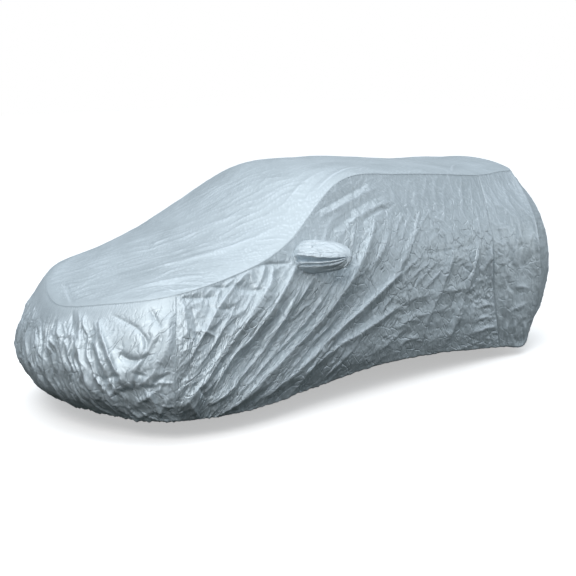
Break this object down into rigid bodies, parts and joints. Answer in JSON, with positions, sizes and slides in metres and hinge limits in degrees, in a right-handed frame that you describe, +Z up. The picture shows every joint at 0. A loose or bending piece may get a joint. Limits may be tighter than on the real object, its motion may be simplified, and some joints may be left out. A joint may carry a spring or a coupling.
{
  "type": "fitted car cover",
  "caption": "Hollow fitted cover of silver-coated cloth, shaped to a small car, with mirror pockets and an elastic hem.",
  "frame": {"origin": "underside of the top panel, in the middle of its width, where the car's roof carries it", "axes": "+X towards the tail, +Y towards the car's right side, +Z up; the floor is 1.565 m below the origin"},
  "size_m": [4.4821, 2.1531, 1.5099],
  "materials": {
    "top_panel": "silver coated, satin",
    "front_panel": "silver coated, satin",
    "rear_panel": "silver coated, satin",
    "side_panel_left": "silver coated, satin",
    "side_panel_right": "silver coated, satin",
    "mirror_pocket_left": "silver coated, satin",
    "mirror_pocket_right": "silver coated, satin"
  },
  "bodies": {
    "root": {"top_panel": "top_panel", "front_panel": "front_panel", "rear_panel": "rear_panel", "side_panel_left": "side_panel_left", "side_panel_right": "side_panel_right", "mirror_pocket_left": "mirror_pocket_left", "mirror_pocket_right": "mirror_pocket_right"}
  },
  "joints": []
}
